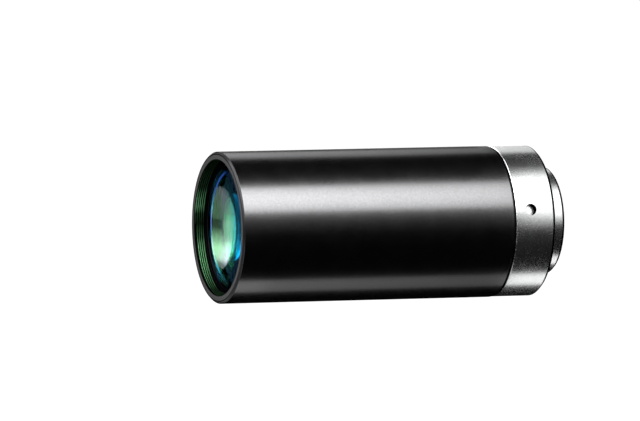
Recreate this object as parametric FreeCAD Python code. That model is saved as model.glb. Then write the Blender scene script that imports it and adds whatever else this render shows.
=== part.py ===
import FreeCAD, Part
import math
import os

# Telecentric lens for a machine-vision camera: a black tube with the glass in it and a bright
# mount ring behind. Millimetres. The optical axis is X and light travels towards +X.
# The origin is the centre of the flange face that seats on the camera, and +Z is up.

# Outer form
BARREL_OD = 36.0
BARREL_LENGTH = 68.6
BARREL_RIM_CHAMFER = 0.4
BARREL_REAR_CHAMFER = 0.3
RING_INSET = 0.1
RING_LENGTH = 10.2
RING_FRONT_CHAMFER = 0.35
RING_REAR_CHAMFER = 0.5
NOSE_OD = 25.4
NOSE_LENGTH = 4.4
NOSE_CHAMFER = 0.4
NOSE_WALL = 1.4

# Blind holes in the mount ring for a pin spanner
SPANNER_HOLE_D = 2.6
SPANNER_HOLE_DEPTH = 1.5
SPANNER_HOLE_COUNT = 3
SPANNER_HOLE_SETBACK = 3.95
SPANNER_HOLE_RISE_DEG = 12.2

# Thread between the tube and the mount ring, and the shim that sets the flange distance
SPIGOT_INSET = 2.3
SPIGOT_LENGTH = 6.0
SPIGOT_CHAMFER = 0.4
SPIGOT_RELIEF_WIDTH = 0.8
SPIGOT_RELIEF_DEPTH = 0.5
SPIGOT_END_GAP = 0.4
SHIM_THICKNESS = 0.2
SHIM_INSET = 0.6

# Wall of the tube at each of its bores, from the rim to the rear
FILTER_THREAD_WALL = 1.5
FILTER_THREAD_CHAMFER = 0.1
RETAINER_THREAD_WALL = 2.0
FRONT_SEAT_WALL = 2.5
FRONT_LAND_WALL = 4.3
FRONT_LAND_LENGTH = 3.0
MAIN_WALL = 3.8

# Cap ring that clamps the front glass: a thread round the glass and a thin lip in front of it
RETAINER_DEPTH = 3.0
RETAINER_LENGTH = 1.6
RETAINER_LIP = 0.5
RETAINER_LIP_THICKNESS = 0.3
RETAINER_LIP_CHAMFER = 0.1
RETAINER_RUNOUT = 0.2
SLOT_WIDTH = 1.2
SLOT_DEPTH = 0.7

# Glass, front group: surface radii are positive where the centre lies behind the surface
FRONT_LENS_FRONT_R = 900.0
FRONT_LENS_REAR_R = -32.4
FRONT_LENS_CENTRE = 6.0
FRONT_AIR_GAP = 0.85
FRONT_CROWN_FRONT_R = 600.0
FRONT_CEMENT_R = -44.0
FRONT_CROWN_CENTRE = 5.6
FRONT_FLINT_REAR_R = -200.0
FRONT_FLINT_CENTRE = 2.6
FRONT_SEAT_RIM = 0.52
FRONT_LAND_RIM = 2.1

# Glass, rear group
STOP_LENS_FRONT_R = -22.0
STOP_LENS_REAR_R = -20.0
STOP_LENS_CENTRE = 2.3
STOP_AIR_GAP = 0.9
REAR_FLINT_FRONT_R = -60.0
REAR_FLINT_CENTRE = 1.3
REAR_CEMENT_R = 18.0
REAR_CROWN_CENTRE = 5.0
REAR_CROWN_REAR_R = -24.0
REAR_AIR_GAP = 0.7
LAST_LENS_FRONT_R = 40.0
LAST_LENS_REAR_R = -55.0
LAST_LENS_CENTRE = 4.9
REAR_SEAT_RIM = 0.6
LAST_SEAT_RIM = 1.0
LENS_BEVEL = 0.2
CEMENT_FILM = 0.01

# Rear cell, which carries the stop and the rear group
CELL_STANDOUT = 0.6
CELL_NECK_LENGTH = 7.2
CELL_SEAT_D = 16.0
CELL_LAST_SEAT_D = 19.2
CELL_PARTITION = 1.2
CELL_PARTITION_BORE = 8.0
CELL_CHAMFER = 0.3
LAST_RETAINER_THICKNESS = 1.8
SPACER_PROUD = 0.1
CELL_LOCK_THICKNESS = 1.8

# Aperture stop
STOP_D = 4.8
STOP_THICKNESS = 0.3
STOP_PLATE_D = 14.0
STOP_RETAINER_THICKNESS = 1.4
STOP_RETAINER_BORE = 11.0
STOP_RECESS_FREE = 0.1

# Light trap
BAFFLE_WALL = 0.8
BAFFLE_TOOTH = 0.8
BAFFLE_TEETH = 12
BAFFLE_LOCK_THICKNESS = 1.6
BAFFLE_LOCK_BORE = 19.0
BAFFLE_CELL_GAP = 0.8

# Fits, as the gap on the radius
LENS_FIT = 0.02
THREAD_FIT = 0.02
SLIDE_FIT = 0.03


def sag(radius, height):
    """How far a surface of this radius has moved along the axis at this height, with its sign."""
    depth = abs(radius) - math.sqrt(radius * radius - height * height)
    return math.copysign(depth, radius)


# Radii that several pieces share
BARREL_R = BARREL_OD / 2
RING_R = BARREL_R - RING_INSET
SPIGOT_R = BARREL_R - SPIGOT_INSET
RETAINER_THREAD_R = BARREL_R - RETAINER_THREAD_WALL
FRONT_SEAT_R = BARREL_R - FRONT_SEAT_WALL
FRONT_LAND_R = BARREL_R - FRONT_LAND_WALL
MAIN_BORE_R = BARREL_R - MAIN_WALL
NOSE_R = NOSE_OD / 2
NOSE_BORE_R = NOSE_R - NOSE_WALL
FRONT_LENS_R = FRONT_SEAT_R - LENS_FIT
FRONT_CLEAR_R = FRONT_LENS_R - FRONT_SEAT_RIM
FRONT_LAND_CLEAR_R = FRONT_LENS_R - FRONT_LAND_RIM
BAFFLE_R = MAIN_BORE_R - SLIDE_FIT
CELL_R = MAIN_BORE_R - THREAD_FIT
CELL_NECK_R = NOSE_BORE_R - SLIDE_FIT
CELL_SEAT_R = CELL_SEAT_D / 2
CELL_LAST_SEAT_R = CELL_LAST_SEAT_D / 2
STOP_SEAT_R = STOP_PLATE_D / 2
STOP_LENS_R = CELL_SEAT_R - LENS_FIT
REAR_CLEAR_R = STOP_LENS_R - REAR_SEAT_RIM
LAST_LENS_R = CELL_LAST_SEAT_R - LENS_FIT
LAST_CLEAR_R = LAST_LENS_R - LAST_SEAT_RIM

# Stations along the axis: the outside, from the flange to the rim
RING_FRONT = -RING_LENGTH
BARREL_REAR = RING_FRONT - SHIM_THICKNESS
RIM = BARREL_REAR - BARREL_LENGTH
SPIGOT_END = BARREL_REAR + SPIGOT_LENGTH
SPIGOT_STOP = SPIGOT_END + SPIGOT_END_GAP

# Stations along the axis: the front group, from the rim to its shoulder
RETAINER_FRONT = RIM + RETAINER_DEPTH
RETAINER_BACK = RETAINER_FRONT + RETAINER_LENGTH
FRONT_LENS_FACE = RETAINER_FRONT + RETAINER_LIP_THICKNESS
FRONT_LENS_VERTEX = FRONT_LENS_FACE - sag(FRONT_LENS_FRONT_R, FRONT_CLEAR_R)
FRONT_LENS_BACK_VERTEX = FRONT_LENS_VERTEX + FRONT_LENS_CENTRE
FRONT_LENS_BACK = FRONT_LENS_BACK_VERTEX + sag(FRONT_LENS_REAR_R, FRONT_CLEAR_R)
FRONT_CROWN_VERTEX = FRONT_LENS_BACK_VERTEX + FRONT_AIR_GAP
FRONT_CROWN_FACE = FRONT_CROWN_VERTEX + sag(FRONT_CROWN_FRONT_R, FRONT_CLEAR_R)
FRONT_CEMENT_VERTEX = FRONT_CROWN_VERTEX + FRONT_CROWN_CENTRE
FRONT_CEMENT = FRONT_CEMENT_VERTEX + sag(FRONT_CEMENT_R, FRONT_CLEAR_R)
FRONT_FLINT_VERTEX = FRONT_CEMENT_VERTEX + CEMENT_FILM + FRONT_FLINT_CENTRE
FRONT_SHOULDER = FRONT_FLINT_VERTEX + sag(FRONT_FLINT_REAR_R, FRONT_LAND_CLEAR_R)
FRONT_LAND_END = FRONT_SHOULDER + FRONT_LAND_LENGTH

# Stations along the axis: the rear cell and its glass, from the partition to the cell's end
CELL_END = CELL_STANDOUT
LAST_RETAINER_BACK = CELL_END - CELL_CHAMFER
LAST_LENS_BACK = LAST_RETAINER_BACK - LAST_RETAINER_THICKNESS
LAST_LENS_VERTEX = LAST_LENS_BACK - sag(LAST_LENS_REAR_R, LAST_CLEAR_R) - LAST_LENS_CENTRE
LAST_LENS_FACE = LAST_LENS_VERTEX + sag(LAST_LENS_FRONT_R, REAR_CLEAR_R)
REAR_CROWN_BACK_VERTEX = LAST_LENS_VERTEX - REAR_AIR_GAP
REAR_CROWN_BACK = REAR_CROWN_BACK_VERTEX + sag(REAR_CROWN_REAR_R, REAR_CLEAR_R)
REAR_CEMENT_VERTEX = REAR_CROWN_BACK_VERTEX - REAR_CROWN_CENTRE
REAR_CEMENT = REAR_CEMENT_VERTEX + sag(REAR_CEMENT_R, REAR_CLEAR_R)
REAR_FLINT_VERTEX = REAR_CEMENT_VERTEX - CEMENT_FILM - REAR_FLINT_CENTRE
REAR_FLINT_FACE = REAR_FLINT_VERTEX + sag(REAR_FLINT_FRONT_R, REAR_CLEAR_R)
STOP_LENS_BACK_VERTEX = REAR_FLINT_VERTEX - STOP_AIR_GAP
STOP_LENS_BACK = STOP_LENS_BACK_VERTEX + sag(STOP_LENS_REAR_R, REAR_CLEAR_R)
STOP_LENS_VERTEX = STOP_LENS_BACK_VERTEX - STOP_LENS_CENTRE
STOP_LENS_FACE = STOP_LENS_VERTEX + sag(STOP_LENS_FRONT_R, REAR_CLEAR_R)
CELL_STOP_FLOOR = STOP_LENS_FACE - CELL_PARTITION
STOP_RETAINER_BACK = CELL_STOP_FLOOR - STOP_THICKNESS
STOP_RETAINER_FRONT = STOP_RETAINER_BACK - STOP_RETAINER_THICKNESS
CELL_FRONT = STOP_RETAINER_FRONT - STOP_RECESS_FREE
CELL_SHOULDER = CELL_END - CELL_NECK_LENGTH
CELL_LOCK_BACK = CELL_SHOULDER + CELL_LOCK_THICKNESS
CELL_STEP = LAST_LENS_FACE - SPACER_PROUD

# Stations along the axis: the light trap, between the two groups
BAFFLE_LOCK_BACK = CELL_FRONT - BAFFLE_CELL_GAP
BAFFLE_BACK = BAFFLE_LOCK_BACK - BAFFLE_LOCK_THICKNESS

AXIS = FreeCAD.Vector(1, 0, 0)
ORIGIN = FreeCAD.Vector(0, 0, 0)


def at(x, r):
    """The point of a half section at this station and radius."""
    return FreeCAD.Vector(x, r, 0)


def spun(edges):
    """The solid that a closed half section sweeps round the axis."""
    return Part.Face(Part.Wire(edges)).revolve(ORIGIN, AXIS, 360)


def lines(points):
    """Straight edges through a list of half-section points."""
    pairs = zip(points, points[1:])
    return [Part.makeLine(at(*a), at(*b)) for a, b in pairs]


def turned(points):
    """A turned piece, from the corners of its half section in order."""
    return spun(lines(points + points[:1]))


def arc(radius, edge_x, height, outward):
    """A polished surface in half section, between the axis and its outer edge."""
    vertex_x = edge_x - sag(radius, height)
    vertex = at(vertex_x, 0)
    middle = at(vertex_x + sag(radius, height / 2), height / 2)
    edge = at(edge_x, height)
    ends = (vertex, middle, edge) if outward else (edge, middle, vertex)
    return Part.Arc(*ends).toShape()


def element(front_x, front_r, front_clear, back_x, back_r, back_clear, edge_r):
    """One glass element: two polished surfaces, flat seats round them and bevelled edges."""
    front_vertex = front_x - sag(front_r, front_clear)
    back_vertex = back_x - sag(back_r, back_clear)
    seats = [
        (front_x, front_clear),
        (front_x, edge_r - LENS_BEVEL),
        (front_x + LENS_BEVEL, edge_r),
        (back_x - LENS_BEVEL, edge_r),
        (back_x, edge_r - LENS_BEVEL),
        (back_x, back_clear),
    ]
    outline = [arc(front_r, front_x, front_clear, True)]
    outline += lines(seats)
    outline += [arc(back_r, back_x, back_clear, False)]
    outline += lines([(back_vertex, 0), (front_vertex, 0)])
    return spun(outline)


def washer(front_x, back_x, inner_r, outer_r):
    """A plain ring."""
    return turned([(front_x, inner_r), (front_x, outer_r), (back_x, outer_r), (back_x, inner_r)])


def slots(face_x, inward, radius):
    """The bar that cuts two spanner slots across the face of a retaining ring."""
    height = 2 * radius + 2
    start = face_x if inward > 0 else face_x - SLOT_DEPTH
    corner = FreeCAD.Vector(start, -SLOT_WIDTH / 2, -height / 2)
    return Part.makeBox(SLOT_DEPTH, SLOT_WIDTH, height, corner)


def main_barrel():
    """Black tube: filter thread, seat for the front glass, main bore and the rear spigot."""
    thread_r = BARREL_R - FILTER_THREAD_WALL
    relief_r = SPIGOT_R - SPIGOT_RELIEF_DEPTH
    outside = [
        (RIM, thread_r + FILTER_THREAD_CHAMFER),
        (RIM, BARREL_R - BARREL_RIM_CHAMFER),
        (RIM + BARREL_RIM_CHAMFER, BARREL_R),
        (BARREL_REAR - BARREL_REAR_CHAMFER, BARREL_R),
        (BARREL_REAR, BARREL_R - BARREL_REAR_CHAMFER),
        (BARREL_REAR, relief_r),
        (BARREL_REAR + SPIGOT_RELIEF_WIDTH, relief_r),
        (BARREL_REAR + SPIGOT_RELIEF_WIDTH, SPIGOT_R),
        (SPIGOT_END - SPIGOT_CHAMFER, SPIGOT_R),
        (SPIGOT_END, SPIGOT_R - SPIGOT_CHAMFER),
    ]
    inside = [
        (SPIGOT_END, MAIN_BORE_R),
        (FRONT_LAND_END, MAIN_BORE_R),
        (FRONT_LAND_END, FRONT_LAND_R),
        (FRONT_SHOULDER, FRONT_LAND_R),
        (FRONT_SHOULDER, FRONT_SEAT_R),
        (RETAINER_BACK + RETAINER_RUNOUT, FRONT_SEAT_R),
        (RETAINER_BACK + RETAINER_RUNOUT, RETAINER_THREAD_R),
        (RETAINER_FRONT, RETAINER_THREAD_R),
        (RETAINER_FRONT, thread_r),
        (RIM + FILTER_THREAD_CHAMFER, thread_r),
    ]
    return turned(outside + inside)


def front_retaining_ring():
    """Threaded cap round the edge of the front glass, whose thin lip bears on its flat seat."""
    lip_r = FRONT_SEAT_R - RETAINER_LIP
    outer_r = RETAINER_THREAD_R - THREAD_FIT
    ring = turned([
        (RETAINER_FRONT, lip_r + RETAINER_LIP_CHAMFER),
        (RETAINER_FRONT, outer_r),
        (RETAINER_BACK, outer_r),
        (RETAINER_BACK, FRONT_SEAT_R),
        (FRONT_LENS_FACE, FRONT_SEAT_R),
        (FRONT_LENS_FACE, lip_r),
        (RETAINER_FRONT + RETAINER_LIP_CHAMFER, lip_r),
    ])
    return ring.cut(slots(RETAINER_FRONT, 1, outer_r))


def front_lens():
    """First element, almost flat in front and strongly curved behind."""
    return element(
        FRONT_LENS_FACE, FRONT_LENS_FRONT_R, FRONT_CLEAR_R,
        FRONT_LENS_BACK, FRONT_LENS_REAR_R, FRONT_CLEAR_R, FRONT_LENS_R,
    )


def front_spacer():
    """Ring between the first element and the front doublet."""
    return washer(FRONT_LENS_BACK, FRONT_CROWN_FACE, FRONT_CLEAR_R, FRONT_LENS_R)


def front_doublet_crown():
    """Positive half of the front doublet."""
    return element(
        FRONT_CROWN_FACE, FRONT_CROWN_FRONT_R, FRONT_CLEAR_R,
        FRONT_CEMENT, FRONT_CEMENT_R, FRONT_CLEAR_R, FRONT_LENS_R,
    )


def front_doublet_flint():
    """Negative half of the front doublet, which sits on the shoulder of the tube."""
    return element(
        FRONT_CEMENT + CEMENT_FILM, FRONT_CEMENT_R, FRONT_CLEAR_R,
        FRONT_SHOULDER, FRONT_FLINT_REAR_R, FRONT_LAND_CLEAR_R, FRONT_LENS_R,
    )


def baffle_tube():
    """Sleeve whose bore is cut with saw teeth that trap stray light."""
    crest_r = BAFFLE_R - BAFFLE_WALL - BAFFLE_TOOTH
    root_r = BAFFLE_R - BAFFLE_WALL
    pitch = (BAFFLE_BACK - FRONT_LAND_END) / BAFFLE_TEETH
    outline = [(FRONT_LAND_END, BAFFLE_R), (BAFFLE_BACK, BAFFLE_R)]
    for tooth in range(BAFFLE_TEETH):
        outline.append((BAFFLE_BACK - tooth * pitch, root_r))
        outline.append((BAFFLE_BACK - (tooth + 1) * pitch, crest_r))
    return turned(outline)


def baffle_lock_ring():
    """Threaded ring that holds the light trap against the step of the tube."""
    ring = washer(BAFFLE_BACK, BAFFLE_LOCK_BACK, BAFFLE_LOCK_BORE / 2, CELL_R)
    return ring.cut(slots(BAFFLE_LOCK_BACK, -1, CELL_R))


def rear_cell():
    """Threaded cell: recess for the stop in front, seats for the rear group, and a neck."""
    return turned([
        (CELL_FRONT, STOP_SEAT_R),
        (CELL_FRONT, CELL_R - CELL_CHAMFER),
        (CELL_FRONT + CELL_CHAMFER, CELL_R),
        (CELL_SHOULDER, CELL_R),
        (CELL_SHOULDER, CELL_NECK_R),
        (CELL_END - CELL_CHAMFER, CELL_NECK_R),
        (CELL_END, CELL_NECK_R - CELL_CHAMFER),
        (CELL_END, CELL_LAST_SEAT_R),
        (CELL_STEP, CELL_LAST_SEAT_R),
        (CELL_STEP, CELL_SEAT_R),
        (STOP_LENS_FACE, CELL_SEAT_R),
        (STOP_LENS_FACE, CELL_PARTITION_BORE / 2),
        (CELL_STOP_FLOOR, CELL_PARTITION_BORE / 2),
        (CELL_STOP_FLOOR, STOP_SEAT_R),
    ])


def aperture_stop():
    """Thin plate whose hole is the fixed aperture."""
    outer_r = STOP_SEAT_R - SLIDE_FIT
    return washer(STOP_RETAINER_BACK, CELL_STOP_FLOOR, STOP_D / 2, outer_r)


def stop_retaining_ring():
    """Threaded ring that holds the stop plate in its recess."""
    outer_r = STOP_SEAT_R - THREAD_FIT
    ring = washer(STOP_RETAINER_FRONT, STOP_RETAINER_BACK, STOP_RETAINER_BORE / 2, outer_r)
    return ring.cut(slots(STOP_RETAINER_FRONT, 1, outer_r))


def stop_side_lens():
    """Meniscus next to the stop."""
    return element(
        STOP_LENS_FACE, STOP_LENS_FRONT_R, REAR_CLEAR_R,
        STOP_LENS_BACK, STOP_LENS_REAR_R, REAR_CLEAR_R, STOP_LENS_R,
    )


def stop_side_spacer():
    """Ring between the meniscus and the rear doublet."""
    return washer(STOP_LENS_BACK, REAR_FLINT_FACE, REAR_CLEAR_R, STOP_LENS_R)


def rear_doublet_flint():
    """Negative half of the rear doublet."""
    return element(
        REAR_FLINT_FACE, REAR_FLINT_FRONT_R, REAR_CLEAR_R,
        REAR_CEMENT - CEMENT_FILM, REAR_CEMENT_R, REAR_CLEAR_R, STOP_LENS_R,
    )


def rear_doublet_crown():
    """Positive half of the rear doublet."""
    return element(
        REAR_CEMENT, REAR_CEMENT_R, REAR_CLEAR_R,
        REAR_CROWN_BACK, REAR_CROWN_REAR_R, REAR_CLEAR_R, STOP_LENS_R,
    )


def rear_spacer():
    """Ring between the rear doublet and the last element."""
    return washer(REAR_CROWN_BACK, LAST_LENS_FACE, REAR_CLEAR_R, STOP_LENS_R)


def last_lens():
    """Field element nearest to the camera."""
    return element(
        LAST_LENS_FACE, LAST_LENS_FRONT_R, REAR_CLEAR_R,
        LAST_LENS_BACK, LAST_LENS_REAR_R, LAST_CLEAR_R, LAST_LENS_R,
    )


def rear_retaining_ring():
    """Threaded ring that clamps the rear group from behind."""
    outer_r = CELL_LAST_SEAT_R - THREAD_FIT
    ring = washer(LAST_LENS_BACK, LAST_RETAINER_BACK, LAST_CLEAR_R, outer_r)
    return ring.cut(slots(LAST_RETAINER_BACK, -1, outer_r))


def cell_lock_ring():
    """Threaded ring that locks the rear cell once the lens is focused."""
    ring = washer(CELL_SHOULDER, CELL_LOCK_BACK, CELL_NECK_R + SLIDE_FIT, CELL_R)
    return ring.cut(slots(CELL_LOCK_BACK, -1, CELL_R))


def mount_shim():
    """Thin washer between the tube and the mount ring."""
    return washer(BARREL_REAR, RING_FRONT, SPIGOT_R + SLIDE_FIT, BARREL_R - SHIM_INSET)


def spanner_hole(index):
    """Cutter for one radial blind hole of the mount ring."""
    turn = math.radians(SPANNER_HOLE_RISE_DEG) + index * 2 * math.pi / SPANNER_HOLE_COUNT
    outward = FreeCAD.Vector(0, -math.cos(turn), math.sin(turn))
    floor_r = RING_R - SPANNER_HOLE_DEPTH
    start = FreeCAD.Vector(RING_FRONT + SPANNER_HOLE_SETBACK, 0, 0) + outward * floor_r
    return Part.makeCylinder(SPANNER_HOLE_D / 2, 2 * SPANNER_HOLE_DEPTH, start, outward)


def mount_ring():
    """Bright ring that screws on the spigot, with the flange face and the threaded nose."""
    socket_r = SPIGOT_R + THREAD_FIT
    ring = turned([
        (RING_FRONT, socket_r),
        (RING_FRONT, RING_R - RING_FRONT_CHAMFER),
        (RING_FRONT + RING_FRONT_CHAMFER, RING_R),
        (-RING_REAR_CHAMFER, RING_R),
        (0, RING_R - RING_REAR_CHAMFER),
        (0, NOSE_R),
        (NOSE_LENGTH - NOSE_CHAMFER, NOSE_R),
        (NOSE_LENGTH, NOSE_R - NOSE_CHAMFER),
        (NOSE_LENGTH, NOSE_BORE_R),
        (SPIGOT_STOP, NOSE_BORE_R),
        (SPIGOT_STOP, socket_r),
    ])
    for index in range(SPANNER_HOLE_COUNT):
        ring = ring.cut(spanner_hole(index))
    return ring


PIECES = [
    main_barrel,
    front_retaining_ring,
    front_lens,
    front_spacer,
    front_doublet_crown,
    front_doublet_flint,
    baffle_tube,
    baffle_lock_ring,
    rear_cell,
    aperture_stop,
    stop_retaining_ring,
    stop_side_lens,
    stop_side_spacer,
    rear_doublet_flint,
    rear_doublet_crown,
    rear_spacer,
    last_lens,
    rear_retaining_ring,
    cell_lock_ring,
    mount_shim,
    mount_ring,
]

os.makedirs("parts", exist_ok=True)
for piece in PIECES:
    shape = piece()
    shape.exportStep("parts/" + piece.__name__ + ".step")
    print(f"{piece.__name__}: {shape.Volume:.1f} mm3, valid {shape.isValid()}")
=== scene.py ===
import math

import bmesh
import bpy
from mathutils import Matrix, Vector


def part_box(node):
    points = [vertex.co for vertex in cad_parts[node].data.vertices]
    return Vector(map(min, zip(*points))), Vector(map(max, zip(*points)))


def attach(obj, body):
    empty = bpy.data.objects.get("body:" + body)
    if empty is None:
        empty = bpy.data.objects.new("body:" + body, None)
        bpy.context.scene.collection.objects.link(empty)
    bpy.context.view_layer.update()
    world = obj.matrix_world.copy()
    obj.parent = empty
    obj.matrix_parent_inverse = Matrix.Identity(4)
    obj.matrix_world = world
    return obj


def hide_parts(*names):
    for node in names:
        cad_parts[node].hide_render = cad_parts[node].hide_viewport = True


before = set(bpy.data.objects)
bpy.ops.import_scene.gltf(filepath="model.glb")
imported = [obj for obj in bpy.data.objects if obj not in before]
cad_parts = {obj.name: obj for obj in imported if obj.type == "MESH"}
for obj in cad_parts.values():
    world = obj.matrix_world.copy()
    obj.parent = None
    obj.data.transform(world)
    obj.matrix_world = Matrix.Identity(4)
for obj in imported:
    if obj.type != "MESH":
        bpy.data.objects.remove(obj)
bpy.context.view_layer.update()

# Telecentric lens: the looks of its tube, mount ring and glass, and the studio round it.
# Metres. The optical axis is X, light travels towards +X, and the flange face is at X = 0.
MM = 0.001
SEAM = 1e-7
NEAR = 2e-7

# How finely turned pieces are drawn
TURN_STEPS = 256
LENS_RINGS = 40
CORNER_STEPS = 3
EDGE_BREAK = 0.06 * MM
FINE_EDGE_BREAK = 0.03 * MM

# Filter thread inside the rim
THREAD_PITCH = 0.5 * MM
THREAD_CREST_DEPTH = 0.27 * MM
THREAD_START = 0.1 * MM
THREAD_ROOT_SINK = 0.03 * MM
CREST_SHARE = 0.20

# Smooth land between the rim's face and the thread, and its distance behind the face
LEAD_LENGTH = 0.11 * MM
LEAD_INSET = 0.008 * MM

# Spanner holes of the mount ring
HOLE_RADIUS = 1.3 * MM
HOLE_DEPTH = 1.5 * MM
HOLE_COUNT = 3
HOLE_RISE = math.radians(12.2)
HOLE_SETBACK = 3.95 * MM
HOLE_EDGE_BREAK = 0.08 * MM
HOLE_MOUTH = HOLE_RADIUS + 2 * HOLE_EDGE_BREAK
HOLE_SHADE = HOLE_RADIUS + 2.2 * HOLE_EDGE_BREAK
HOLE_STEPS = 64

# Edges of the mount ring: how much of the front bevel shines, the rear bevels painted dark as
# painted shade, and the painted shade line that runs on from them onto the cylinders
RING_LIT_BEVEL = 0.11 * MM
REAR_BEVEL = 0.5 * MM
NOSE_BEVEL = 0.42 * MM
PAINTED_SHADE_LIP = 0.22 * MM

# Painted shade: a dark line between the turned face of the rim and its bevel, from one radius to
# the other
FACE_LINE = (17.27 * MM, 17.52 * MM)

# How near a surface a face's middle lies when the face belongs to that surface
ON_TUBE = 0.03 * MM
ON_FACE = 0.02 * MM
RIM_BEVEL_REACH = 0.5 * MM
RING_FRONT_REACH = 0.3 * MM

# Slope of the front glass's turned-down edge
EDGE_LEAN = 0.4

# Slots of the front retaining ring
SLOT_WIDTH = 1.2 * MM
SLOT_DEPTH = 0.7 * MM

# Camera, fitted to the outline of the photograph
CAMERA_AZIMUTH = math.radians(-20.7)
CAMERA_ELEVATION = math.radians(3.49)
CAMERA_DISTANCE = 2533.5 * MM
CAMERA_RIGHT = 24.23 * MM
CAMERA_UP = 4.08 * MM
CAMERA_LENS = 603.45
CAMERA_SENSOR = 36.0

# Studio
FLOOR_DROP = 60 * MM
FLOOR_SIZE = 8.0
FLOOR_GLOW = 0.93
FLOOR_PAINT = 0.35
WORLD_LIGHT = 0.3
SOFTBOX_X = 110 * MM
SOFTBOX_DISTANCE = 500 * MM
SOFTBOX_LENGTH = 560 * MM
SOFTBOX_LOW = math.radians(25)
SOFTBOX_HIGH = math.radians(65)
SOFTBOX_RADIANCE = 7.2
SOFTBOX_FADE = ((0.45, 1.075), (0.70, 0.425))
SOFTBOX_CROWN = 1.08
SOFTBOX_SAG = 0.48

# Cards bent round the lens: how far from the axis, how dark, and where along X they end.
# They shape the reflections in the metal and are not seen themselves
CARD_NEAR = 50 * MM
CARD_MIDDLE = 150 * MM
CARD_FAR = 300 * MM
CARD_DARK = 0.004
CARD_STEPS = 24
NEAR_FRONT_X = -88 * MM
NEAR_RING_X = 4 * MM
NEAR_END_X = 120 * MM
FAR_FRONT_X = -340 * MM
FAR_END_X = 500 * MM
# Light on the lower half of the tube, in steps of reflection angle downwards
TUBE_LIGHT_TOP = 17
TUBE_LIGHT_STEP = 7
TUBE_LIGHT = (0.42, 0.22, 0.10, 0.05)
# Light on the mount ring: reflection angles from and to in degrees, and level
RING_LIGHT = (
    (-11, -4, 0.05), (-4, 3, 0.32), (3, 10, 0.62), (10, 17, 1.0), (17, 24, 1.3), (24, 66, 1.4),
    (66, 73, 1.3), (73, 82, 0.9), (82, 92, 0.28), (134, 170, 0.75),
)

# Card before the glass: its span in elevation and in turn, and its level at each elevation
FRONT_CARD_RADIUS = 300 * MM
FRONT_CARD_LOW = -55
FRONT_CARD_HIGH = 75
FRONT_CARD_NEAR = -50
FRONT_CARD_FAR = 50
FRONT_CARD_LEVEL = 9.0
FRONT_CARD_RISE = ((-50, 0.8), (-30, 1.6), (-12, 0.5), (0, 0.6), (18, 4.5), (30, 9.0), (46, 9.0),
                   (60, 2.0))
# The side that grows pale: turns from and to, and level
FRONT_CARD_PALE = (-4, 14, 2.2)


def outline(name):
    """Half section of a turned CAD node, as (x, r) corners in order, read along its seam.

    A ring gives a closed loop. A lens gives the chain from its front pole to its back pole.
    """
    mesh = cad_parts[name].data
    at = {}
    for vertex in mesh.vertices:
        x, y, z = vertex.co
        if abs(z) < SEAM and y > -SEAM:
            at[vertex.index] = (round(x, 7), round(max(y, 0.0), 7))
    joined = {point: set() for point in at.values()}
    for edge in mesh.edges:
        a, b = (at.get(index) for index in edge.vertices)
        if a is not None and b is not None and a != b:
            joined[a].add(b)
            joined[b].add(a)
    # A flat face has no seam of its own, so its two circles are joined here
    loose = sorted(point for point, near in joined.items() if len(near) == 1 and point[1] > NEAR)
    flats = {}
    for point in loose:
        station = next((x for x in flats if abs(x - point[0]) < NEAR), point[0])
        flats.setdefault(station, []).append(point)
    for pair in flats.values():
        for a, b in zip(pair[0::2], pair[1::2]):
            joined[a].add(b)
            joined[b].add(a)
    poles = sorted(point for point in joined if point[1] <= NEAR)
    start = poles[0] if poles else min(joined)
    chain = [start]
    previous = None
    here = start
    while True:
        following = [point for point in sorted(joined[here]) if point != previous]
        if not following or following[0] == start:
            return chain
        previous, here = here, following[0]
        chain.append(here)


def turn_at(before, here, after):
    """Angle through which an outline turns at a corner."""
    a = Vector(here) - Vector(before)
    b = Vector(after) - Vector(here)
    return a.angle(b, 0.0)


def eased(points, radius, closed=True):
    """The outline with each sharp corner rounded by a small arc."""
    made = []
    count = len(points)
    for index, here in enumerate(points):
        if not closed and index in (0, count - 1):
            made.append(here)
            continue
        before = points[index - 1]
        after = points[(index + 1) % count]
        turn = turn_at(before, here, after)
        if turn < math.radians(12):
            made.append(here)
            continue
        corner = Vector(here)
        back = Vector(before) - corner
        ahead = Vector(after) - corner
        reach = min(radius * math.tan(turn / 2), 0.45 * back.length, 0.45 * ahead.length)
        start = corner + back.normalized() * reach
        end = corner + ahead.normalized() * reach
        for step in range(CORNER_STEPS + 1):
            t = step / CORNER_STEPS
            point = start * (1 - t) ** 2 + corner * 2 * t * (1 - t) + end * t ** 2
            made.append(tuple(point))
    return made


def spun(name, points, closed=True, steps=TURN_STEPS, sharp=math.radians(35)):
    """A mesh object made by turning an outline round the X axis."""
    grid = bmesh.new()
    rings = []
    for x, r in points:
        if r <= NEAR:
            rings.append([grid.verts.new((x, 0.0, 0.0))])
            continue
        angles = (2 * math.pi * step / steps for step in range(steps))
        rings.append([grid.verts.new((x, r * math.cos(a), r * math.sin(a))) for a in angles])
    pairs = list(zip(rings, rings[1:]))
    if closed:
        pairs.append((rings[-1], rings[0]))
    for first, second in pairs:
        for step in range(steps):
            after = (step + 1) % steps
            if len(first) == 1:
                grid.faces.new((first[0], second[step], second[after]))
            elif len(second) == 1:
                grid.faces.new((first[after], first[step], second[0]))
            else:
                grid.faces.new((first[step], second[step], second[after], first[after]))
    bmesh.ops.recalc_face_normals(grid, faces=grid.faces)
    for face in grid.faces:
        face.smooth = True
    for edge in grid.edges:
        edge.smooth = edge.calc_face_angle(0.0) < sharp
    return mesh_object(name, grid)


def mesh_object(name, grid):
    """Turns a bmesh into an object of the scene."""
    mesh = bpy.data.meshes.new(name)
    grid.to_mesh(mesh)
    grid.free()
    piece = bpy.data.objects.new(name, mesh)
    bpy.context.scene.collection.objects.link(piece)
    return piece


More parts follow.
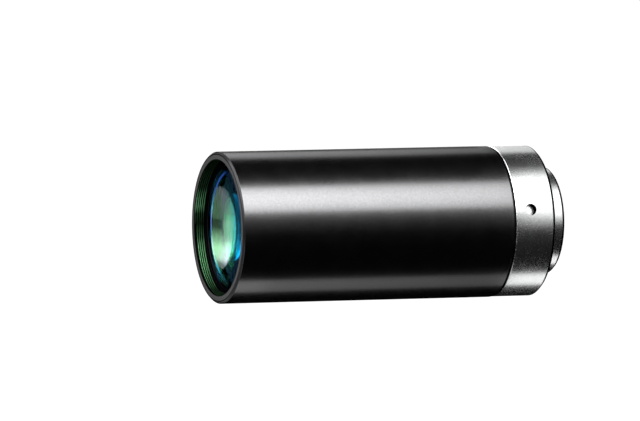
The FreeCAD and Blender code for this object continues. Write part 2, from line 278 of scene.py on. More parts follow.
def weighted(piece):
    """Keeps flat and cylindrical faces clean beside the rounded corners."""
    modifier = piece.modifiers.new("weighted", "WEIGHTED_NORMAL")
    modifier.keep_sharp = True
    modifier.weight = 100
    return piece


def settled(piece):
    """Applies a piece's modifiers to its mesh."""
    bpy.context.view_layer.update()
    graph = bpy.context.evaluated_depsgraph_get()
    mesh = bpy.data.meshes.new_from_object(piece.evaluated_get(graph), depsgraph=graph)
    piece.modifiers.clear()
    piece.data = mesh
    return piece


def turned(name, points, edge_break=EDGE_BREAK):
    """A ring made by turning an outline, with its corners rounded."""
    return spun(name, eased(points, edge_break))


def cut(piece, cutter):
    """Subtracts a cutter from a piece and deletes the cutter."""
    modifier = piece.modifiers.new("cut", "BOOLEAN")
    modifier.operation = "DIFFERENCE"
    modifier.solver = "EXACT"
    modifier.object = cutter
    settled(piece)
    mesh = cutter.data
    bpy.data.objects.remove(cutter)
    bpy.data.meshes.remove(mesh)
    resharpen(piece)
    return piece


def resharpen(piece, sharp=math.radians(35)):
    """Marks smooth and sharp edges again after a cut."""
    grid = bmesh.new()
    grid.from_mesh(piece.data)
    bmesh.ops.remove_doubles(grid, verts=grid.verts, dist=1e-7)
    for face in grid.faces:
        face.smooth = True
    for edge in grid.edges:
        edge.smooth = edge.calc_face_angle(0.0) < sharp
    grid.to_mesh(piece.data)
    grid.free()


def place(piece, nodes, material):
    """Gives a piece its finish and its body, and lets it stand for CAD nodes."""
    piece.data.materials.clear()
    piece.data.materials.append(material)
    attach(piece, "root")
    if nodes:
        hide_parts(*nodes)
    return piece


def shader(name):
    """A new material, its empty node tree and its output node."""
    material = bpy.data.materials.new(name)
    material.use_nodes = True
    tree = material.node_tree
    tree.nodes.clear()
    output = tree.nodes.new("ShaderNodeOutputMaterial")
    return material, tree, output


def node(tree, kind, **values):
    """A new node, with values for its properties and its named inputs."""
    made = tree.nodes.new(kind)
    for key, value in values.items():
        if hasattr(made, key):
            setattr(made, key, value)
        else:
            made.inputs[key.replace("_", " ")].default_value = value
    return made


def ramp(tree, stops, source):
    """A colour ramp fed by a socket; stops are (position, colour)."""
    made = tree.nodes.new("ShaderNodeValToRGB")
    elements = made.color_ramp.elements
    while len(elements) > 1:
        elements.remove(elements[-1])
    elements[0].position, elements[0].color = stops[0]
    for position, colour in stops[1:]:
        element = elements.new(position)
        element.color = colour
    tree.links.new(source, made.inputs["Fac"])
    return made


def grey(value):
    """A neutral colour."""
    return (value, value, value, 1.0)


def combined(tree, operation, *values, clamp=False):
    """The result of a math node; its values are numbers or sockets."""
    made = node(tree, "ShaderNodeMath", operation=operation, use_clamp=clamp)
    for socket, value in zip(made.inputs, values):
        if isinstance(value, bpy.types.NodeSocket):
            tree.links.new(value, socket)
        else:
            socket.default_value = value
    return made.outputs[0]


def mapped(tree, source, start, end, low=0.0, high=1.0, kind="LINEAR"):
    """A socket that runs from low to high while its source runs from start to end."""
    made = node(tree, "ShaderNodeMapRange", interpolation_type=kind)
    for key, value in zip(("From Min", "From Max", "To Min", "To Max"), (start, end, low, high)):
        made.inputs[key].default_value = value
    tree.links.new(source, made.inputs["Value"])
    return made.outputs["Result"]


def object_point(tree):
    """The shaded point in the piece's own coordinates, as a socket."""
    return node(tree, "ShaderNodeTexCoord").outputs["Object"]


def along_axis(tree, axis):
    """One coordinate of the shaded point, as a socket."""
    split = node(tree, "ShaderNodeSeparateXYZ")
    tree.links.new(object_point(tree), split.inputs[0])
    return split.outputs[axis]


def blend(tree, share, first, second):
    """Two shaders mixed by a share, which is a number or a socket."""
    made = node(tree, "ShaderNodeMixShader")
    if isinstance(share, bpy.types.NodeSocket):
        tree.links.new(share, made.inputs[0])
    else:
        made.inputs[0].default_value = share
    tree.links.new(first, made.inputs[1])
    tree.links.new(second, made.inputs[2])
    return made.outputs[0]


def seen_directly(tree):
    """1 for rays from the camera, a reflection or through glass, as a socket."""
    path = node(tree, "ShaderNodeLightPath")
    seen = combined(tree, "MAXIMUM", path.outputs["Is Camera Ray"], path.outputs["Is Glossy Ray"])
    return combined(tree, "MAXIMUM", seen, path.outputs["Is Transmission Ray"])


def satin_metal(name, base, roughness, spread, grain, depth, grazing=1.0):
    """Anodised or blasted metal: a fine grain in the surface, its gloss and its colour.

    Grazing sets how much the metal brightens where it is seen aslant.
    """
    material, tree, output = shader(name)
    links = tree.links
    where = object_point(tree)
    fine = node(tree, "ShaderNodeTexNoise", Scale=grain, Detail=4.0, Roughness=0.6)
    links.new(where, fine.inputs["Vector"])
    broad = node(tree, "ShaderNodeTexNoise", Scale=grain * 0.12, Detail=3.0, Roughness=0.5)
    links.new(where, broad.inputs["Vector"])
    mixed = combined(tree, "ADD", fine.outputs["Fac"], broad.outputs["Fac"])
    gloss = mapped(tree, mixed, 0.6, 1.4, roughness - spread, roughness + spread)
    low = tuple(channel * 0.93 for channel in base) + (1.0,)
    high = tuple(min(channel * 1.07, 1.0) for channel in base) + (1.0,)
    colour = ramp(tree, [(0.35, low), (0.65, high)], fine.outputs["Fac"])
    bump = node(tree, "ShaderNodeBump", Strength=0.5, Distance=depth)
    links.new(fine.outputs["Fac"], bump.inputs["Height"])
    surface = node(tree, "ShaderNodeBsdfPrincipled", Metallic=1.0)
    surface.inputs["Specular Tint"].default_value = grey(grazing)
    links.new(colour.outputs["Color"], surface.inputs["Base Color"])
    links.new(gloss, surface.inputs["Roughness"])
    links.new(bump.outputs["Normal"], surface.inputs["Normal"])
    links.new(surface.outputs["BSDF"], output.inputs["Surface"])
    return material


def radius_of(tree):
    """Distance from the optical axis, as a socket."""
    flat = node(tree, "ShaderNodeVectorMath", operation="MULTIPLY")
    flat.inputs[1].default_value = (0.0, 1.0, 1.0)
    tree.links.new(object_point(tree), flat.inputs[0])
    length = node(tree, "ShaderNodeVectorMath", operation="LENGTH")
    tree.links.new(flat.outputs[0], length.inputs[0])
    return length.outputs["Value"]


def thread_metal(name, crest, root, crest_radius, root_radius, roughness, green_shares, reach):
    """Dark thread whose crests are painted with the green reflection of the coated glass, more at
    some heights; a diffuse part shows this painted green too.

    Green shares are (height, share) pairs from the bottom to the top of the bore.
    """
    material, tree, output = shader(name)
    links = tree.links
    depth = mapped(tree, radius_of(tree), crest_radius, root_radius)
    colour = ramp(tree, [(0.0, crest), (0.06, crest), (0.14, root), (1.0, root)], depth)
    level = mapped(tree, along_axis(tree, "Z"), -reach, reach)
    stops = [(0.5 + 0.5 * rise / reach, grey(share)) for rise, share in green_shares]
    green_share = ramp(tree, stops, level)
    painted_colour = node(tree, "ShaderNodeVectorMath", operation="MULTIPLY")
    links.new(colour.outputs["Color"], painted_colour.inputs[0])
    links.new(green_share.outputs["Color"], painted_colour.inputs[1])
    # A diffuse part that shows the painted green reflection too
    painted_diffuse = node(tree, "ShaderNodeBsdfDiffuse")
    links.new(painted_colour.outputs[0], painted_diffuse.inputs["Color"])
    grain = node(tree, "ShaderNodeTexNoise", Scale=2200.0, Detail=3.0)
    bump = node(tree, "ShaderNodeBump", Strength=0.4, Distance=0.002 * MM)
    links.new(grain.outputs["Fac"], bump.inputs["Height"])
    surface = node(tree, "ShaderNodeBsdfPrincipled", Metallic=1.0, Roughness=roughness)
    surface.inputs["Specular Tint"].default_value = grey(0.0)
    links.new(painted_colour.outputs[0], surface.inputs["Base Color"])
    links.new(bump.outputs["Normal"], surface.inputs["Normal"])
    both = blend(tree, 0.85, surface.outputs["BSDF"], painted_diffuse.outputs[0])
    links.new(both, output.inputs["Surface"])
    return material


def edge_line(tree, radius, width, stops, height):
    """A painted reflection: a glossy line coloured by height, with a leaned normal, for the
    coloured line that the edge of a coating shows: its shader and where it lies.

    It lies on the outside of the glass, on its +Y half.
    """
    links = tree.links
    away = combined(tree, "ABSOLUTE", combined(tree, "SUBTRACT", radius_of(tree), radius))
    band = mapped(tree, away, width, 0.3 * width, kind="SMOOTHSTEP")
    side = node(tree, "ShaderNodeNewGeometry")
    outside = combined(tree, "SUBTRACT", 1.0, side.outputs["Backfacing"])
    # The painted reflection shows only on the +Y half of the glass
    far_half = mapped(tree, along_axis(tree, "Y"), 0.0, 0.6 * radius, kind="SMOOTHSTEP")
    line_share = combined(tree, "MULTIPLY", combined(tree, "MULTIPLY", band, outside), far_half)
    colour = ramp(tree, stops, mapped(tree, along_axis(tree, "Z"), -height, height))
    lean = node(tree, "ShaderNodeVectorMath", operation="MULTIPLY_ADD")
    lean.inputs[1].default_value = (0.0, -EDGE_LEAN / radius, -EDGE_LEAN / radius)
    lean.inputs[2].default_value = (-1.0, 0.0, 0.0)
    links.new(object_point(tree), lean.inputs[0])
    facing = node(tree, "ShaderNodeVectorMath", operation="NORMALIZE")
    links.new(lean.outputs[0], facing.inputs[0])
    paint = node(tree, "ShaderNodeBsdfGlossy", Roughness=0.12)
    links.new(colour.outputs["Color"], paint.inputs["Color"])
    links.new(facing.outputs[0], paint.inputs["Normal"])
    return paint.outputs[0], line_share


def coated_glass(name, ior, stops, gain, inner_gain, edge=None):
    """Lens glass whose coating reflects one colour seen square on and another seen aslant.

    The gains set how much the coating leaves of each reflection, from outside and from inside.
    """
    material, tree, output = shader(name)
    links = tree.links
    facing = node(tree, "ShaderNodeLayerWeight", Blend=0.5)
    colour = ramp(tree, stops, facing.outputs["Facing"])
    fresnel = node(tree, "ShaderNodeFresnel", IOR=ior)
    side = node(tree, "ShaderNodeNewGeometry")
    gains = mapped(tree, side.outputs["Backfacing"], 0.0, 1.0, gain, inner_gain)
    share = combined(tree, "MULTIPLY", fresnel.outputs["Fac"], gains, clamp=True)
    bend = node(tree, "ShaderNodeBsdfRefraction", IOR=ior, Roughness=0.0)
    bend.inputs["Color"].default_value = (0.97, 0.99, 0.97, 1.0)
    mirror = node(tree, "ShaderNodeBsdfGlossy", Roughness=0.02)
    links.new(colour.outputs["Color"], mirror.inputs["Color"])
    glass = blend(tree, share, bend.outputs[0], mirror.outputs[0])
    if edge:
        line, line_share = edge_line(tree, *edge)
        glass = blend(tree, line_share, glass, line)
    path = node(tree, "ShaderNodeLightPath")
    through = node(tree, "ShaderNodeBsdfTransparent")
    through.inputs["Color"].default_value = (0.9, 0.95, 0.9, 1.0)
    either = blend(tree, path.outputs["Is Shadow Ray"], glass, through.outputs[0])
    links.new(either, output.inputs["Surface"])
    return material


def lens_outline(name):
    """Half section of a lens, with its two polished faces as fine true arcs."""
    points = outline(name)
    if points[0][0] > points[-1][0]:
        points.reverse()
    inside = range(1, len(points) - 1)
    first = next(i for i in inside if abs(points[i + 1][0] - points[i][0]) < NEAR)
    last = next(i for i in reversed(inside) if abs(points[i - 1][0] - points[i][0]) < NEAR)
    front = polished(points[0][0], points[first])
    back = polished(points[-1][0], points[last])
    return front + points[first + 1:last] + back[::-1]


def polished(pole, edge):
    """Points of a spherical face from its pole to its edge."""
    x, height = edge
    depth = x - pole
    radius = (height ** 2 + depth ** 2) / (2 * depth)
    made = []
    for ring in range(LENS_RINGS + 1):
        r = height * ring / LENS_RINGS
        sag = abs(radius) - math.sqrt(radius ** 2 - r ** 2)
        made.append((pole + math.copysign(sag, radius), r))
    return made


def helix(name, start, end, crest, root, pitch):
    """The ridge of an inside thread, as one closed strip that winds round the axis."""
    section = [(-0.46, root), (-CREST_SHARE, crest), (CREST_SHARE, crest), (0.46, root)]
    turns = (end - start) / pitch - 1
    count = int(turns * TURN_STEPS)
    grid = bmesh.new()
    rows = []
    for step in range(count + 1):
        angle = 2 * math.pi * step / TURN_STEPS
        x = start + pitch * (0.5 + step / TURN_STEPS)
        rows.append([
            grid.verts.new((x + along * pitch, r * math.cos(angle), r * math.sin(angle)))
            for along, r in section
        ])
    size = len(section)
    for first, second in zip(rows, rows[1:]):
        for index in range(size):
            after = (index + 1) % size
            grid.faces.new((first[index], second[index], second[after], first[after]))
    grid.faces.new(rows[0])
    grid.faces.new(rows[-1])
    bmesh.ops.recalc_face_normals(grid, faces=grid.faces)
    for face in grid.faces:
        face.smooth = True
    for edge in grid.edges:
        edge.smooth = edge.calc_face_angle(0.0) < math.radians(50)
    return mesh_object(name, grid)


def bar(name, low, high):
    """A plain box, used as a cutter."""
    grid = bmesh.new()
    bmesh.ops.create_cube(grid, size=1.0)
    size = Vector(high) - Vector(low)
    middle = (Vector(high) + Vector(low)) / 2
    grid.transform(Matrix.Translation(middle) @ Matrix.Diagonal((*size, 1.0)))
    return mesh_object(name, grid)


def hole_cutter(index, ring_radius, centre_x):
    """Cutter for one radial blind hole, with a small broken edge at its mouth."""
    profile = [
        (-HOLE_DEPTH, 0.0), (-HOLE_DEPTH, HOLE_RADIUS), (-2 * HOLE_EDGE_BREAK, HOLE_RADIUS),
        (HOLE_EDGE_BREAK, HOLE_MOUTH), (HOLE_DEPTH, HOLE_MOUTH), (HOLE_DEPTH, 0.0),
    ]
    cutter = spun(f"hole_cutter_{index}", profile, False, HOLE_STEPS)
    outward = hole_way(index)
    spin = Vector((1.0, 0.0, 0.0)).rotation_difference(outward).to_matrix().to_4x4()
    centre = Vector((centre_x, 0.0, 0.0)) + outward * ring_radius
    cutter.data.transform(Matrix.Translation(centre) @ spin)
    return cutter


def slotted(piece, face_x, radius):
    """Cuts the two spanner slots across the front face of a ring."""
    low = (face_x - SLOT_DEPTH, -SLOT_WIDTH / 2, -1.1 * radius)
    high = (face_x + SLOT_DEPTH, SLOT_WIDTH / 2, 1.1 * radius)
    return cut(piece, bar("slot_cutter", low, high))


THREAD_MAJOR = max(r for x, r in outline("main_barrel")
                   if abs(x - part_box("front_retaining_ring")[0].x) < NEAR)

# Finishes. The rim's bevel and turned face are paler than the bore behind them, which is painted
# near black as painted shade
BLACK = satin_metal("black_anodised", (0.112, 0.112, 0.114), 0.23, 0.03, 2200.0, 0.004 * MM,
                    0.45)
BLACK_INSIDE = satin_metal("black_inside", (0.03, 0.03, 0.03), 0.34, 0.05, 2200.0, 0.006 * MM)
# Near-black painted shade, for the bore, the hole walls, the dark edge lines and the recessed
# retaining ring
SHADE_BLACK = satin_metal("painted_shade_black", (0.006, 0.006, 0.007), 0.38, 0.05, 2200.0, 0.006 * MM, 0.05)
RIM_BLACK = satin_metal("rim_black", (0.018, 0.018, 0.019), 0.26, 0.03, 2200.0, 0.004 * MM, 0.75)
# Shares of the painted green reflection on the thread's crests, from the bottom to the top of the
# bore
THREAD_GREEN_SHARES = [
    (-15.0 * MM, 0.10), (-13.0 * MM, 0.5), (-9.5 * MM, 1.0), (-5.5 * MM, 1.0), (-3.2 * MM, 0.3),
    (0.0, 0.06), (2.4 * MM, 0.12), (4.4 * MM, 0.8), (7.0 * MM, 0.5), (8.6 * MM, 0.12),
    (15.0 * MM, 0.04),
]
# Crests painted with the green reflection of the coated glass; roots painted near black as painted
# shade
THREAD_BLACK = thread_metal("black_thread", (0.40, 1.0, 0.42, 1.0), grey(0.002),
                            THREAD_MAJOR - THREAD_CREST_DEPTH, THREAD_MAJOR, 0.22,
                            THREAD_GREEN_SHARES, THREAD_MAJOR)
BRIGHT = satin_metal("bright_metal", (0.78, 0.79, 0.79), 0.26, 0.03, 2200.0, 0.003 * MM)
STEEL = satin_metal("blackened_steel", (0.06, 0.06, 0.06), 0.4, 0.05, 3000.0, 0.004 * MM)
PALE_COAT = [
    (0.0, (0.45, 1.0, 0.55, 1.0)), (0.03, (0.50, 1.0, 0.60, 1.0)),
    (0.09, (0.75, 0.78, 0.90, 1.0)), (0.15, (0.08, 0.40, 0.38, 1.0)),
    (0.22, (0.15, 0.75, 1.0, 1.0)), (0.30, (0.03, 0.20, 0.30, 1.0)),
    (1.0, (0.10, 0.25, 0.60, 1.0)),
]
GREEN_COAT = [
    (0.0, (0.10, 1.0, 0.30, 1.0)), (0.45, (0.12, 1.0, 0.40, 1.0)),
    (0.62, (0.10, 0.85, 0.85, 1.0)), (0.74, (0.15, 0.35, 1.0, 1.0)),
    (0.86, (0.45, 0.35, 1.0, 1.0)), (1.0, (1.0, 1.0, 1.0, 1.0)),
]
# Colours of the painted reflection on the front glass's edge, from the bottom to the top
EDGE_COLOURS = [
    (0.0, (0.01, 0.03, 0.08, 1.0)), (0.18, (0.01, 0.12, 0.16, 1.0)),
    (0.27, (0.22, 0.50, 0.34, 1.0)), (0.34, (0.30, 0.48, 0.46, 1.0)),
    (0.42, (0.04, 0.16, 0.22, 1.0)), (0.52, (0.05, 0.07, 0.24, 1.0)),
    (0.65, (0.05, 0.22, 0.32, 1.0)), (0.78, (0.02, 0.07, 0.28, 1.0)),
    (1.0, (0.01, 0.04, 0.20, 1.0)),
]
FRONT_GLASS = coated_glass("front_glass", 1.74, PALE_COAT, 0.25, 1.7,
                           (13.2 * MM, 0.6 * MM, EDGE_COLOURS, 15 * MM))
CROWN_GLASS = coated_glass("crown_glass", 1.62, GREEN_COAT, 2.4, 0.15)
INNER_GLASS = coated_glass("inner_glass", 1.62, GREEN_COAT, 0.15, 1.0)


def with_rings(points, low_x, high_x, radii):
    """The outline with extra points at the given radii, on its faces between two stations."""
    made = []
    for here, after in zip(points, points[1:] + points[:1]):
        made.append(here)
        if min(here[0], after[0]) < low_x - NEAR or max(here[0], after[0]) > high_x + NEAR:
            continue
        between = [r for r in radii if min(here[1], after[1]) < r < max(here[1], after[1])]
        for r in sorted(between, reverse=here[1] > after[1]):
            share = (r - here[1]) / (after[1] - here[1])
            made.append((here[0] + share * (after[0] - here[0]), r))
    return made


def with_stations(points, stations):
    """The outline with extra points where its faces cross the given stations."""
    made = []
    for here, after in zip(points, points[1:] + points[:1]):
        made.append(here)
        between = [x for x in stations if min(here[0], after[0]) < x < max(here[0], after[0])]
        for x in sorted(between, reverse=here[0] > after[0]):
            share = (x - here[0]) / (after[0] - here[0])
            made.append((x, here[1] + share * (after[1] - here[1])))
    return made


def shade_rim(barrel, front_x):
    """Parts of the barrel off the tube: turned face and bevel in the rim's black, and painted
    shade on the dark line round the face and on the bore.
    """
    barrel.data.materials.append(SHADE_BLACK)
    barrel.data.materials.append(RIM_BLACK)
    tube_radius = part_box("main_barrel")[1].z
    for face in barrel.data.polygons:
        height = math.hypot(face.center.y, face.center.z)
        if height > tube_radius - ON_TUBE:
            continue
        on_face = abs(face.center.x - front_x) < ON_FACE
        in_line = FACE_LINE[0] < height < FACE_LINE[1]
        on_bevel = face.center.x < front_x + RIM_BEVEL_REACH and height > FACE_LINE[1]
        # Index 1 is painted shade: the line round the turned face and the bore
        face.material_index = 2 if (on_face and not in_line) or on_bevel else 1


def build_barrel():
    """The black tube and the thread inside its rim."""
    front_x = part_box("main_barrel")[0].x
    profile = eased(outline("main_barrel"), EDGE_BREAK)
    profile = with_rings(profile, front_x, front_x, FACE_LINE)
    barrel = weighted(spun("main_barrel_turned", profile))
    place(barrel, ["main_barrel"], BLACK)
    shade_rim(barrel, front_x)
    ring_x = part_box("front_retaining_ring")[0].x
    inner = THREAD_MAJOR - THREAD_CREST_DEPTH
    ridge = helix("filter_thread", front_x + THREAD_START, ring_x, inner,
                  THREAD_MAJOR + THREAD_ROOT_SINK, THREAD_PITCH)
    place(ridge, [], THREAD_BLACK)
    outer = THREAD_MAJOR + LEAD_LENGTH
    low_x = front_x + LEAD_INSET
    high_x = front_x + LEAD_LENGTH
    lead = turned("thread_lead", [(low_x, inner), (low_x, outer), (high_x, outer),
                                  (high_x, inner)], FINE_EDGE_BREAK)
    place(weighted(lead), [], RIM_BLACK)
    return barrel


def build_retaining_ring():
    """The slotted ring in front of the glass."""
    name = "front_retaining_ring"
    ring = turned(name + "_turned", outline(name), FINE_EDGE_BREAK)
    low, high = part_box(name)
    slotted(ring, low.x, high.y)
    weighted(ring)
    # The whole ring takes the painted shade black, as it lies deep in the bore
    return place(ring, [name], SHADE_BLACK)


def hole_way(index):
    """Outward direction of a spanner hole."""
    turn = HOLE_RISE + index * 2 * math.pi / HOLE_COUNT
    return Vector((0.0, -math.cos(turn), math.sin(turn)))


def in_hole_wall(point, centre_x, ring_radius):
    """Whether a point lies on the wall or the broken edge of a spanner hole."""
    for index in range(HOLE_COUNT):
        way = hole_way(index)
        offset = point - Vector((centre_x, 0.0, 0.0))
        depth = ring_radius - offset.dot(way)
        aside = (offset - way * offset.dot(way)).length
        if aside < HOLE_SHADE and depth < 0.95 * HOLE_DEPTH:
            return math.hypot(point.y, point.z) < ring_radius - 0.01 * MM
    return False


def shade_ring(ring, low, high, nose_radius):
    """Parts of the bright ring given painted shade: its front face, hole walls, and rear and nose
    bevels take the near-black painted shade.
    """
    ring.data.materials.append(SHADE_BLACK)
    for face in ring.data.polygons:
        centre = face.center
        height = math.hypot(centre.y, centre.z)
        on_front = centre.x < low.x + RING_FRONT_REACH and height < high.z - RING_LIT_BEVEL
        on_rear = -REAR_BEVEL - PAINTED_SHADE_LIP < centre.x < -ON_FACE and height > nose_radius + MM
        on_nose = centre.x > high.x - NOSE_BEVEL - PAINTED_SHADE_LIP
        on_nose = on_nose and nose_radius - NOSE_BEVEL < height
        # Painted shade: the front face, the rear and nose bevels with the line beyond them, and
        # the hole walls
        if on_front or on_rear or on_nose or in_hole_wall(centre, low.x + HOLE_SETBACK, high.z):
            face.material_index = 1


def build_mount_ring():
    """The bright ring and nose, with its blind spanner holes."""
    name = "mount_ring"
    low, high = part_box(name)
    profile = eased(outline(name), EDGE_BREAK)
    nose_radius = max(r for x, r in profile if x > MM)
    profile = with_rings(profile, low.x, low.x + MM, (high.z - RING_LIT_BEVEL,))
    profile = with_stations(profile, (-REAR_BEVEL - PAINTED_SHADE_LIP, high.x - NOSE_BEVEL - PAINTED_SHADE_LIP))
    ring = spun(name + "_turned", profile)
    for index in range(HOLE_COUNT):
        cut(ring, hole_cutter(index, high.z, low.x + HOLE_SETBACK))
    weighted(ring)
    place(ring, [name], BRIGHT)
    shade_ring(ring, low, high, nose_radius)
    return ring


def build_lens(name, material):
    """One glass element."""
    piece = spun(name + "_glass", lens_outline(name), False, sharp=math.radians(4))
    return place(piece, [name], material)


def dress_inside():
    """Finishes of the CAD pieces that stay as they are."""
    for name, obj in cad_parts.items():
        slot = obj.data.materials[0].name if obj.data.materials else ""
        finish = STEEL if "steel" in slot else BLACK_INSIDE
        if not obj.hide_render:
            obj.data.materials.clear()
            obj.data.materials.append(finish)


def floor_material():
    """White floor that still takes the shadow of the lens."""
    material, tree, output = shader("studio_floor")
    paint = node(tree, "ShaderNodeBsdfDiffuse", Color=grey(FLOOR_PAINT))
    glow = node(tree, "ShaderNodeEmission", Color=grey(1.0))
    strength = combined(tree, "MULTIPLY", seen_directly(tree), FLOOR_GLOW)
    tree.links.new(strength, glow.inputs["Strength"])
    both = node(tree, "ShaderNodeAddShader")
    tree.links.new(paint.outputs[0], both.inputs[0])
    tree.links.new(glow.outputs[0], both.inputs[1])
    tree.links.new(both.outputs[0], output.inputs["Surface"])
    return material


def build_floor():
    """The floor under the lens."""
    grid = bmesh.new()
    bmesh.ops.create_grid(grid, x_segments=1, y_segments=1, size=FLOOR_SIZE / 2)
    grid.transform(Matrix.Translation((0.0, 0.0, -FLOOR_DROP)))
    floor = mesh_object("studio_floor", grid)
    floor.data.materials.append(floor_material())
    return floor


def build_world():
    """White surround: full strength where it is seen, lower where it lights."""
    world = bpy.data.worlds.new("studio")
    bpy.context.scene.world = world
    world.use_nodes = True
    tree = world.node_tree
    tree.nodes.clear()
    output = tree.nodes.new("ShaderNodeOutputWorld")
    strength = mapped(tree, seen_directly(tree), 0.0, 1.0, WORLD_LIGHT, 1.0)
    background = node(tree, "ShaderNodeBackground", Color=grey(1.0))
    tree.links.new(strength, background.inputs["Strength"])
    tree.links.new(background.outputs[0], output.inputs["Surface"])


def build_softbox():
    """The long softbox above and in front of the lens."""
    middle = (SOFTBOX_LOW + SOFTBOX_HIGH) / 2
    data = bpy.data.lights.new("softbox", "AREA")
    data.shape = "RECTANGLE"
    data.size = SOFTBOX_LENGTH
    data.size_y = 2 * SOFTBOX_DISTANCE * math.tan((SOFTBOX_HIGH - SOFTBOX_LOW) / 2)
    data.energy = SOFTBOX_RADIANCE * math.pi * data.size * data.size_y
    data.use_nodes = True
    tree = data.node_tree
    tree.nodes.clear()
    across = node(tree, "ShaderNodeNewGeometry")
    split = node(tree, "ShaderNodeSeparateXYZ")
    tree.links.new(across.outputs["Parametric"], split.inputs[0])
    (start, near_share), (end, far_share) = SOFTBOX_FADE
    fade = mapped(tree, split.outputs["X"], start, end, near_share, far_share)
    aside = combined(tree, "SUBTRACT", split.outputs["Y"], 0.5)
    bow = combined(tree, "MULTIPLY", aside, aside)
    crown = combined(tree, "MULTIPLY_ADD", bow, -4 * SOFTBOX_SAG, SOFTBOX_CROWN)
    glow = node(tree, "ShaderNodeEmission")
    tree.links.new(combined(tree, "MULTIPLY", fade, crown), glow.inputs["Strength"])
    output = tree.nodes.new("ShaderNodeOutputLight")
    tree.links.new(glow.outputs[0], output.inputs[0])
    light = bpy.data.objects.new("softbox", data)
    bpy.context.scene.collection.objects.link(light)
    out = Vector((0.0, -math.cos(middle), math.sin(middle)))
    up = Vector((0.0, math.sin(middle), math.cos(middle)))
    side = Vector((1.0, 0.0, 0.0))
    light.location = Vector((SOFTBOX_X, 0.0, 0.0)) + out * SOFTBOX_DISTANCE
    light.rotation_mode = "QUATERNION"
    light.rotation_quaternion = Matrix((side, up, out)).transposed().to_quaternion()
    return light


def flag_angle(phi, tube_radius, radius):
    """Where a ray that leaves the tube at reflection angle phi meets a card at that radius."""
    half = phi / 2
    point = Vector((math.cos(half), math.sin(half))) * tube_radius
    way = Vector((math.cos(phi), math.sin(phi)))
    along = point.dot(way)
    reach = -along + math.sqrt(along ** 2 + radius ** 2 - tube_radius ** 2)
    hit = point + way * reach
    angle = math.atan2(hit.y, hit.x)
    return angle if abs(angle - phi) < math.pi else angle + math.copysign(2 * math.pi, phi)


def lit_card(card, level_of):
    """Makes a glowing card that only reflections and the glass see.

    The function level_of gets the card's node tree and gives its level, as a socket.
    """
    material, tree, output = shader(card.name)
    glow = node(tree, "ShaderNodeEmission", Color=grey(1.0))
    tree.links.new(level_of(tree), glow.inputs["Strength"])
    tree.links.new(glow.outputs[0], output.inputs["Surface"])
    card.data.materials.append(material)
    card.visible_camera = False
    card.visible_diffuse = False
    card.visible_shadow = False
    return card


def build_flag(name, low_deg, high_deg, radius, low_x, high_x, level=CARD_DARK, far_level=None):
    """A card bent round the lens, between two reflection angles; its level may fade along X."""
    tube_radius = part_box("main_barrel")[1].z
    low = flag_angle(math.radians(low_deg), tube_radius, radius)
    high = flag_angle(math.radians(high_deg), tube_radius, radius)
    end_level = level if far_level is None else far_level
    grid = bmesh.new()
    rows = []
    for step in range(CARD_STEPS + 1):
        angle = low + (high - low) * step / CARD_STEPS
        y = -radius * math.cos(angle)
        z = radius * math.sin(angle)
        rows.append((grid.verts.new((low_x, y, z)), grid.verts.new((high_x, y, z))))
    for first, second in zip(rows, rows[1:]):
        grid.faces.new((first[0], first[1], second[1], second[0]))
    return lit_card(mesh_object(name, grid), lambda tree: mapped(
        tree, along_axis(tree, "X"), low_x, high_x, level, end_level))


def build_end_flag(name, x, low_y, high_y, low_z, high_z):
    """A flat dark card square to the axis."""
    grid = bmesh.new()
    corners = ((low_y, low_z), (high_y, low_z), (high_y, high_z), (low_y, high_z))
    grid.faces.new([grid.verts.new((x, y, z)) for y, z in corners])
    return lit_card(mesh_object(name, grid), lambda tree: mapped(
        tree, along_axis(tree, "X"), x - MM, x + MM, CARD_DARK, CARD_DARK))


def build_front_card():
    """A curved card before the glass: dark level with the axis, bright above, pale to the side."""
    centre = Vector((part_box("main_barrel")[0].x, 0.0, 0.0))
    grid = bmesh.new()
    rows = []
    for up_step in range(CARD_STEPS + 1):
        rise = FRONT_CARD_LOW + (FRONT_CARD_HIGH - FRONT_CARD_LOW) * up_step / CARD_STEPS
        rise = math.radians(rise)
        row = []
        for side_step in range(CARD_STEPS + 1):
            turn = FRONT_CARD_NEAR + (FRONT_CARD_FAR - FRONT_CARD_NEAR) * side_step / CARD_STEPS
            turn = math.radians(turn)
            way = Vector((-math.cos(rise) * math.cos(turn), math.cos(rise) * math.sin(turn),
                          math.sin(rise)))
            row.append(grid.verts.new(centre + way * FRONT_CARD_RADIUS))
        rows.append(row)
    for first, second in zip(rows, rows[1:]):
        for step in range(CARD_STEPS):
            grid.faces.new((first[step], first[step + 1], second[step + 1], second[step]))
    return lit_card(mesh_object("front_card", grid), front_card_level)


def front_card_level(tree):
    """Level of the front card by elevation, or by its pale side where that is brighter."""
    height = mapped(tree, along_axis(tree, "Z"), -FRONT_CARD_RADIUS, FRONT_CARD_RADIUS)
    rise_level = ramp(tree, level_stops(FRONT_CARD_RISE), height).outputs["Color"]
    start, end = (FRONT_CARD_RADIUS * math.sin(math.radians(turn))
                  for turn in FRONT_CARD_PALE[:2])
    pale = mapped(tree, along_axis(tree, "Y"), start, end, 0.0,
                  FRONT_CARD_PALE[2] / FRONT_CARD_LEVEL, kind="SMOOTHSTEP")
    both = combined(tree, "MAXIMUM", rise_level, pale)
    return combined(tree, "MULTIPLY", both, FRONT_CARD_LEVEL)


def level_stops(rises):
    """Ramp stops for a card of one radius, from (elevation in degrees, level) pairs."""
    return [(0.5 + 0.5 * math.sin(math.radians(rise)), grey(level / FRONT_CARD_LEVEL))
            for rise, level in rises]


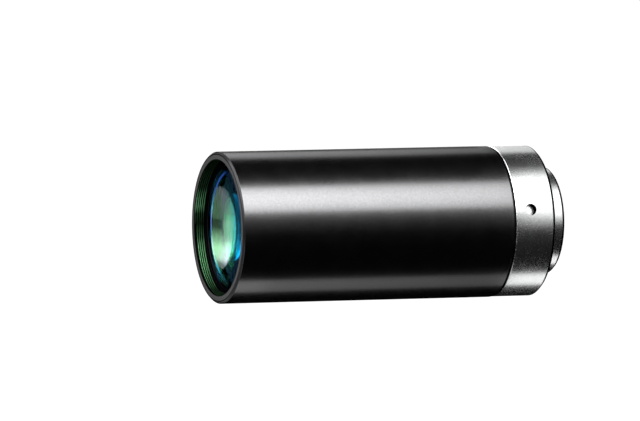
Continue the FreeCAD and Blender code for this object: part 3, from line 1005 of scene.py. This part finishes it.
def build_camera():
    """The photograph's view."""
    data = bpy.data.cameras.new("camera")
    data.lens = CAMERA_LENS
    data.sensor_width = CAMERA_SENSOR
    data.clip_start = 0.1
    data.clip_end = 20.0
    camera = bpy.data.objects.new("camera", data)
    bpy.context.scene.collection.objects.link(camera)
    sin_a, cos_a = math.sin(CAMERA_AZIMUTH), math.cos(CAMERA_AZIMUTH)
    sin_e, cos_e = math.sin(CAMERA_ELEVATION), math.cos(CAMERA_ELEVATION)
    right = Vector((cos_a, sin_a, 0.0))
    up = Vector((-sin_a * sin_e, cos_a * sin_e, cos_e))
    ahead = Vector((-sin_a * cos_e, cos_a * cos_e, -sin_e))
    rim = Vector((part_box("main_barrel")[0].x, 0.0, 0.0))
    camera.location = rim + right * CAMERA_RIGHT + up * CAMERA_UP - ahead * CAMERA_DISTANCE
    camera.rotation_mode = "QUATERNION"
    camera.rotation_quaternion = Matrix((right, up, -ahead)).transposed().to_quaternion()
    bpy.context.scene.camera = camera
    return camera


build_barrel()
build_retaining_ring()
build_mount_ring()
build_lens("front_lens", FRONT_GLASS)
build_lens("front_doublet_crown", CROWN_GLASS)
for lens_name in ("front_doublet_flint", "stop_side_lens", "rear_doublet_flint",
                  "rear_doublet_crown", "last_lens"):
    build_lens(lens_name, INNER_GLASS)
dress_inside()

build_floor()
build_world()
build_softbox()
build_flag("flag_top", 75, 128, CARD_FAR, FAR_FRONT_X, FAR_END_X)
build_flag("light_top", 68, 75, CARD_FAR, FAR_FRONT_X, FAR_END_X, 0.15)
build_flag("light_rear", 134, 156, CARD_FAR, -90 * MM, 130 * MM, 6.4, 0.85)
for step, share in enumerate(TUBE_LIGHT):
    low_deg = TUBE_LIGHT_TOP - TUBE_LIGHT_STEP * step
    build_flag(f"light_low_{step}", low_deg, low_deg + TUBE_LIGHT_STEP, CARD_NEAR,
               NEAR_FRONT_X, NEAR_RING_X, share)
for step, (low_deg, high_deg, share) in enumerate(RING_LIGHT):
    build_flag(f"light_ring_{step}", low_deg, high_deg, CARD_NEAR, NEAR_RING_X, NEAR_END_X, share)
build_flag("flag_low", -85, -4, CARD_NEAR, NEAR_FRONT_X, NEAR_RING_X)
build_flag("flag_low_ring", -85, -11, CARD_NEAR, NEAR_RING_X, NEAR_END_X)
build_flag("light_floor", -113, -85, CARD_NEAR, -58 * MM, NEAR_RING_X, 0.92, 0.55)
build_flag("flag_front", -27, 9, CARD_MIDDLE, -300 * MM, NEAR_FRONT_X)
build_flag("flag_back", -186, -113, CARD_NEAR, -85 * MM, NEAR_END_X)
build_flag("flag_upper_back", 158, 174, CARD_NEAR, -85 * MM, NEAR_RING_X, 0.2)
build_end_flag("flag_end", NEAR_END_X, -50 * MM, 300 * MM, -12 * MM, 300 * MM)
build_front_card()
build_camera()
bpy.context.scene.view_settings.view_transform = "Standard"
